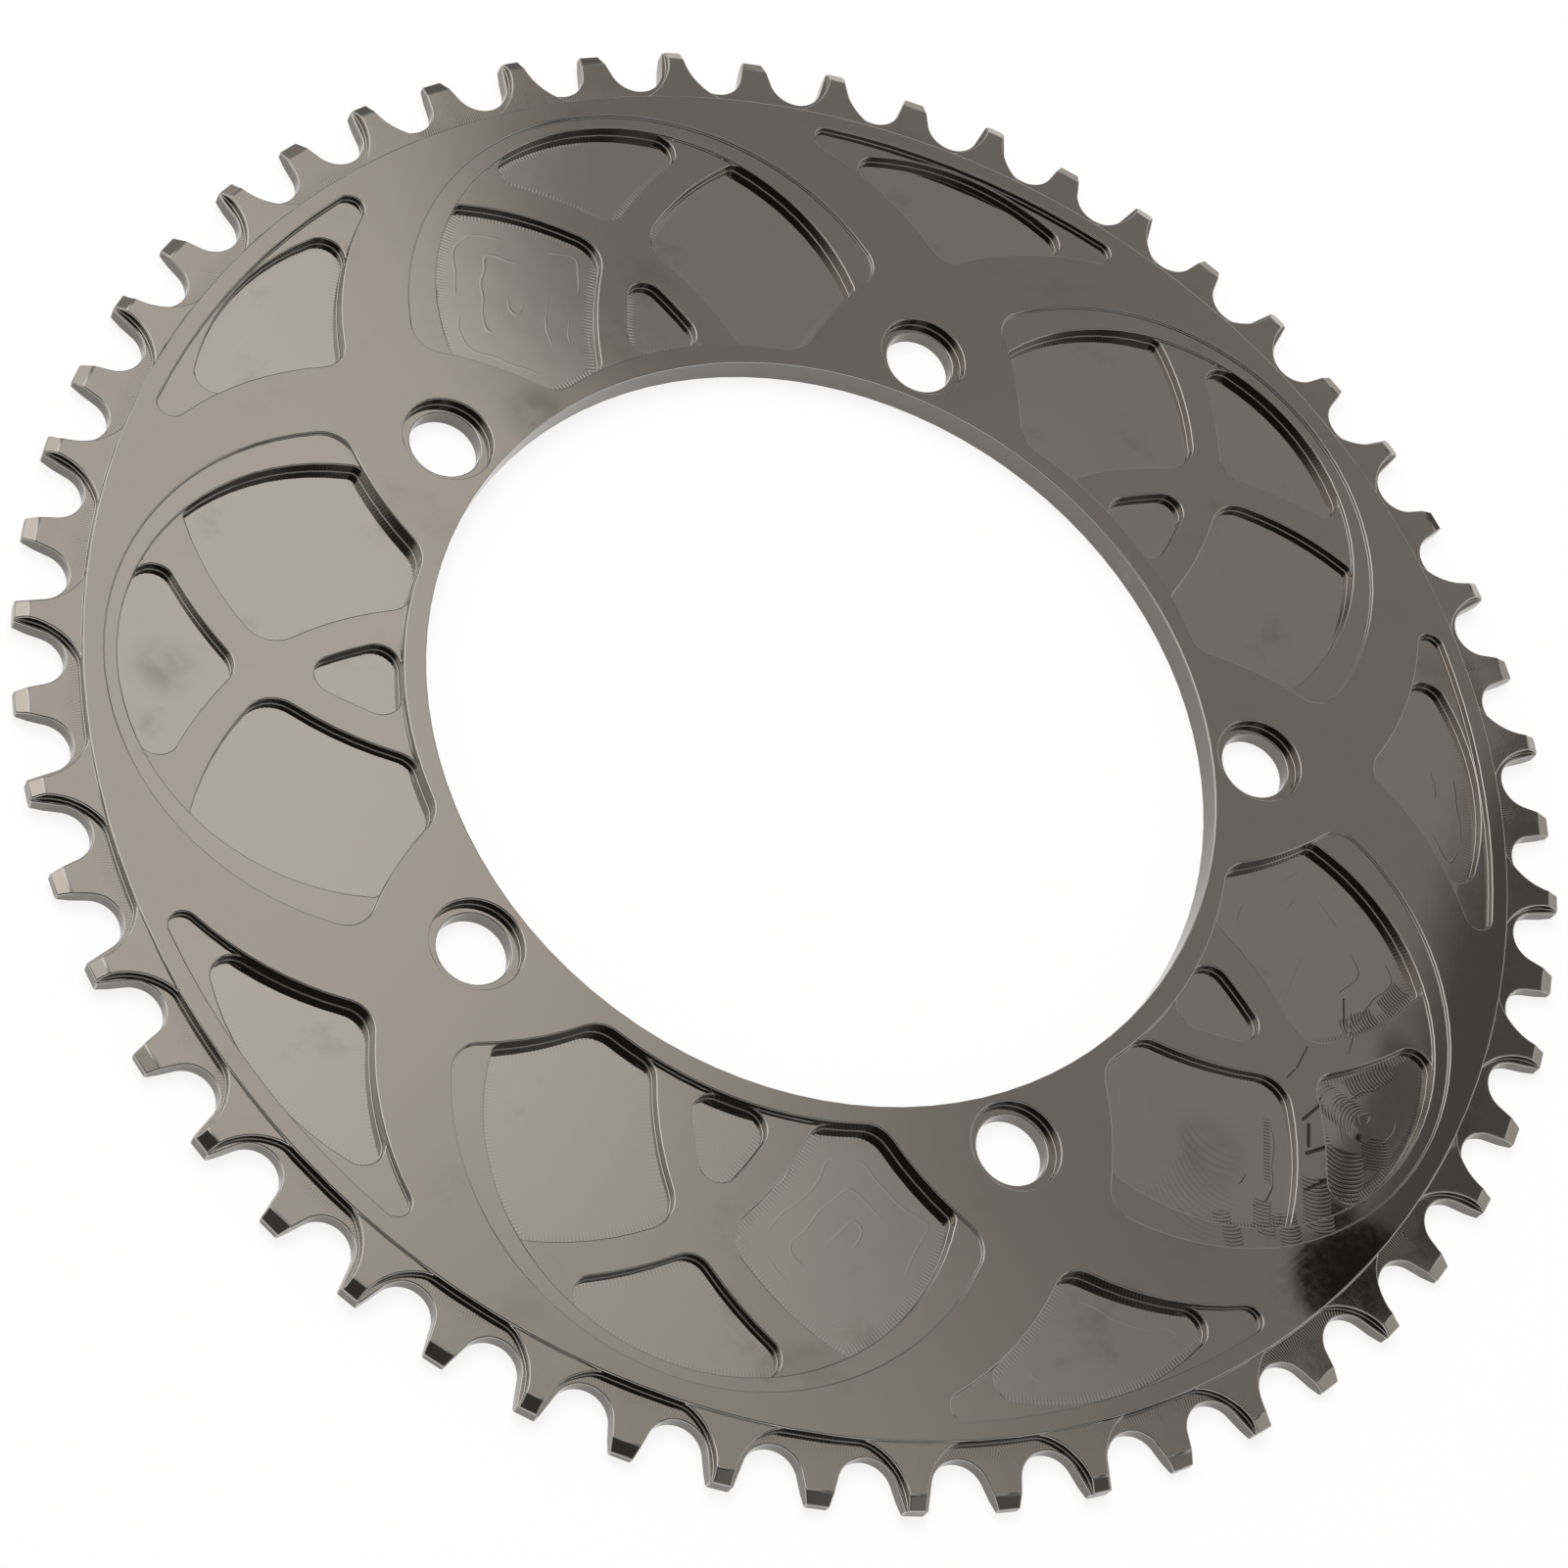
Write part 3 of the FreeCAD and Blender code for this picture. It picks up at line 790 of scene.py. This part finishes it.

# %% [markdown]
# The window on +X carries the most marks: patches of scallops, a few scratches and dents, and low
# rises that the cutter went round. Noise can't place them, so each is one line in a table, and a
# loop sets a node group for each. Their places follow the photo, and their heights and the painted
# shade in their grooves were set until the render looked like it, so they aren't measured depths.

# %% The marks in the window on +X
# middle x and y, heading (degrees from +X), half length, half width, height, arc radius, spacing
SCALLOPS = [
    (92.8, -9.6, -68.0, 4.4, 3.1, 2.6, 4.6, 0.66),
    (91.4, -17.0, -58.0, 4.6, 2.3, 2.3, 4.6, 0.58),
    (89.8, -23.2, -52.0, 3.6, 1.8, 2.0, 4.0, 0.50),
    (95.2, -3.6, -60.0, 2.8, 2.3, 1.7, 9.0, 0.46),
    (87.4, -0.9, 180.0, 3.4, 2.8, 1.6, 3.3, 0.54),
    (89.4, 6.0, -117.3, 4.6, 1.8, 1.8, 3.3, 0.56),
    (84.3, 12.6, -120.0, 3.4, 1.9, 1.6, 3.0, 0.54),
    (86.6, 19.6, -100.0, 2.8, 1.6, 1.6, 3.0, 0.50),
    (86.2, -23.4, -66.0, 3.6, 1.5, 1.8, 4.0, 0.52),
    (82.6, -28.2, -50.0, 3.4, 1.6, 1.8, 4.0, 0.52),
    (82.0, -13.6, -61.9, 5.6, 0.50, 1.9, 30.0, 0.50),
    (76.5, -27.5, -100.0, 6.0, 6.0, 0.55, 9.0, 0.85),
    (75.0, -19.7, -90.0, 2.5, 5.0, 0.55, 8.0, 1.10),
]
# middle x and y, heading, half length, half width, height
STROKES = [
    (89.2, -1.2, -14.0, 2.6, 2.1, 17.0),
    (83.2, 11.6, 115.0, 1.9, 0.22, 4.0),
    (84.2, 8.8, 103.0, 2.3, 0.20, 3.5),
    (84.5, -4.9, 74.0, 2.1, 0.28, -6.0),
    (87.8, -9.5, 55.0, 1.9, 0.36, -8.0),
    (85.7, -8.5, 117.0, 1.6, 0.34, -7.0),
    (90.2, -14.0, 61.0, 2.3, 0.34, -8.0),
    (79.5, 1.4, 93.0, 2.0, 0.20, -2.0),
    (79.3, -1.9, 78.0, 0.9, 0.20, -2.0),
    (81.5, 13.0, 118.0, 1.9, 0.20, -3.0),
    (73.0, 12.0, 97.0, 4.5, 0.18, 2.0),
    (73.6, 3.5, 88.0, 3.5, 0.18, 1.5),
]
CROWN = (88.5, 0.0, 90.0, 6.5, 9.0, 45.0)       # a broad low rise, given as a stroke is
RISE = (90.0, -14.6, 7.0, 24.0)                 # a round one: x, y, reach, height
# painted shade in the marks: the deeper a mark, the darker its colour, most at this depth
MARK_DEPTH = -2.0                               # a mark this deep is as dark as they get
MARK_SHADE_MOST = 0.85
MARKED_SMUDGE = (75.3, -19.7, 8.0, 0.40)        # x, y, reach, strength


def mark_height(tree, group, flat, x, y, heading, length, width, lift, **more):
    """Height of one mark, drawn by its group."""
    heading = math.radians(heading)
    mark = use_group(tree, group, Place=flat, Middle=(x, y, 0.0),
                     Along=(math.cos(heading), math.sin(heading), 0.0),
                     Length=length, Width=width, Height=lift, **more)
    return mark.outputs["Height"]


tree, shader, place = floor_metal("scalloped_floor")
height = floor_height(tree, place, worked=1.0)
flat = flatten(tree, place)
marks = 0.0
for *shape, radius, spacing in SCALLOPS:
    patch = mark_height(tree, scallops, flat, *shape, Radius=radius, Spacing=spacing)
    marks = plus(tree, marks, patch)
for shape in STROKES:
    marks = plus(tree, marks, mark_height(tree, strokes, flat, *shape))
# painted shade in the grooves of the marks, for the dark that they mirror
paint_mark_shade(tree, shader, marks, MARK_DEPTH, MARK_SHADE_MOST)
smudge(tree, shader, place, *MARKED_SMUDGE)
height = plus(tree, height, marks)
height = plus(tree, height, mark_height(tree, strokes, flat, *CROWN))
x, y, reach, lift = RISE
rise = remap(tree, gap(tree, flat, (x, y, 0.0)), 0.0, reach, lift, 0.0)
raise_surface(tree, shader, plus(tree, height, rise))
print("patches of scallops:", len(SCALLOPS), "strokes:", len(STROKES))

# %% [markdown]
# The side of a cutter leaves fine upright lines on a wall. Lines on one axis would vanish on walls
# that face the other way, so a noise that is stretched upwards draws them on walls that face any
# way. The walls are dark in the photo, partly from what they mirror. Their colour is set darker as
# well, as painted shade, and under another light it may need to come up again.

# %% Walls
# painted shade: the walls' metal is darkened to stand in for the dark that they mirror
SHADED_WALL_COLOUR = (0.175, 0.160, 0.143, 1.0)


def stretched(tree, place, across, upright):
    """Place scaled so that a noise of size 1 is that many mm across and upright."""
    return add_node(tree, "ShaderNodeVectorMath", operation="MULTIPLY", in_0=place,
                    in_1=(1.0 / across, 1.0 / across, 1.0 / upright)).outputs[0]


tree, shader, place = metal("milled_wall", haze=0.07, smudges=0.3, colour=SHADED_WALL_COLOUR)
tall = stretched(tree, place, across=0.42, upright=9.0)
lines = waves(tree, tall, size=1.0, height=9.0, detail=2.0)
raise_surface(tree, shader, lines)
print("colour of the walls:", SHADED_WALL_COLOUR[:3])

# %% [markdown]
# Beside each narrow tooth the plate was milled down, and the cutter left rows of short ticks along
# the round sides of these reliefs. The pattern repeats with every two teeth, so one wide tooth and
# half of each neighbour, folded once, is enough. The ticks are strongest near the sides, and on the
# few teeth by the marked window, where the photo shows them best, they are raised more. Their
# grooves also get painted shade, for the dark that they mirror, so it is stronger where they are
# raised more.

# %% Teeth
TOOTH_PAIRS = 27                                # a wide and a narrow tooth each
TWO_TEETH = math.radians(360.0 / TOOTH_PAIRS)
RELIEF_SIDE = (9.950, 111.110, 8.75, "in")      # x, y, radius, with a wide tooth along +Y
RELIEF_BELOW = 3.0                              # mm
TICK_SPACING = 0.46                             # mm
TICK_REACH = (1.2, 4.0)                         # mm from the side of the relief
TICK_LIFT = (1.2, 0.25)                         # near the side, and further in
# painted shade in the ticks: the deeper a tick, the darker its colour, most at this depth
TICK_DEPTH = -2.4                               # a tick this deep is as dark as they get
TICK_SHADE_MOST = 0.6
STRONG_TICK_TEETH = (103.8, -22.4, 16.0, 0.4)          # x, y, reach, flat part
STRONG_TICK_MORE = 3.0

tree, shader, place = metal("milled_tooth", haze=0.055, smudges=0.5)
angle, radius = about_axis(tree, place)
tooth_place = folded(tree, angle, radius, TWO_TEETH, TWO_TEETH / 2)
near_side, run = inside(tree, tooth_place, [RELIEF_SIDE])
upright = add_node(tree, "ShaderNodeSeparateXYZ", in_0=place).outputs["Z"]
in_relief = do_sum(tree, "LESS_THAN", upright, RELIEF_BELOW)
strength = times(tree, remap(tree, near_side, *TICK_REACH, *TICK_LIFT), in_relief)
ticks = times(tree, tick_wave(tree, run, TICK_SPACING), strength)
# a disc of teeth where the ticks, and the painted shade in them, are stronger
strong_ticks = soft_disc(tree, place, *STRONG_TICK_TEETH)
ticks = times(tree, ticks, remap(tree, strong_ticks, 0.0, 1.0, 1.0, STRONG_TICK_MORE))
tall = stretched(tree, place, across=0.5, upright=6.0)
lines = waves(tree, tall, size=1.0, height=2.0, detail=3.0)
uneven = waves(tree, place, size=4.0, height=7.0, detail=1.0)
raise_surface(tree, shader, plus(tree, plus(tree, lines, ticks), uneven))
# painted shade in the grooves of the ticks, for the dark that they mirror
paint_mark_shade(tree, shader, ticks, TICK_DEPTH, TICK_SHADE_MOST)
print("ticks on a relief, mm apart:", TICK_SPACING)

# %% [markdown]
# The broken edges and the feet of the walls look a little paler than the faces in the photo, where
# they catch highlights, so they get a paler colour of their own, which is painted highlight, and a
# little more haze. A fine noise is enough there, because they are only tenths of a millimetre wide.

# %% Broken edges
# painted highlight: a paler, more neutral metal colour makes the thin edge lines look brighter
EDGE_HIGHLIGHT_COLOUR = (0.435, 0.415, 0.388, 1.0)

tree, shader, place = metal("broken_edge", haze=0.07, smudges=0.15, colour=EDGE_HIGHLIGHT_COLOUR)
raise_surface(tree, shader, waves(tree, place, size=0.5, height=3.0, detail=2.0))
print("finishes:", [material.name for material in ring.data.materials])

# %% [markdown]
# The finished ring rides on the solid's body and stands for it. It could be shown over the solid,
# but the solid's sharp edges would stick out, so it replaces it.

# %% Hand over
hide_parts("chainring")
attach(ring, "root")
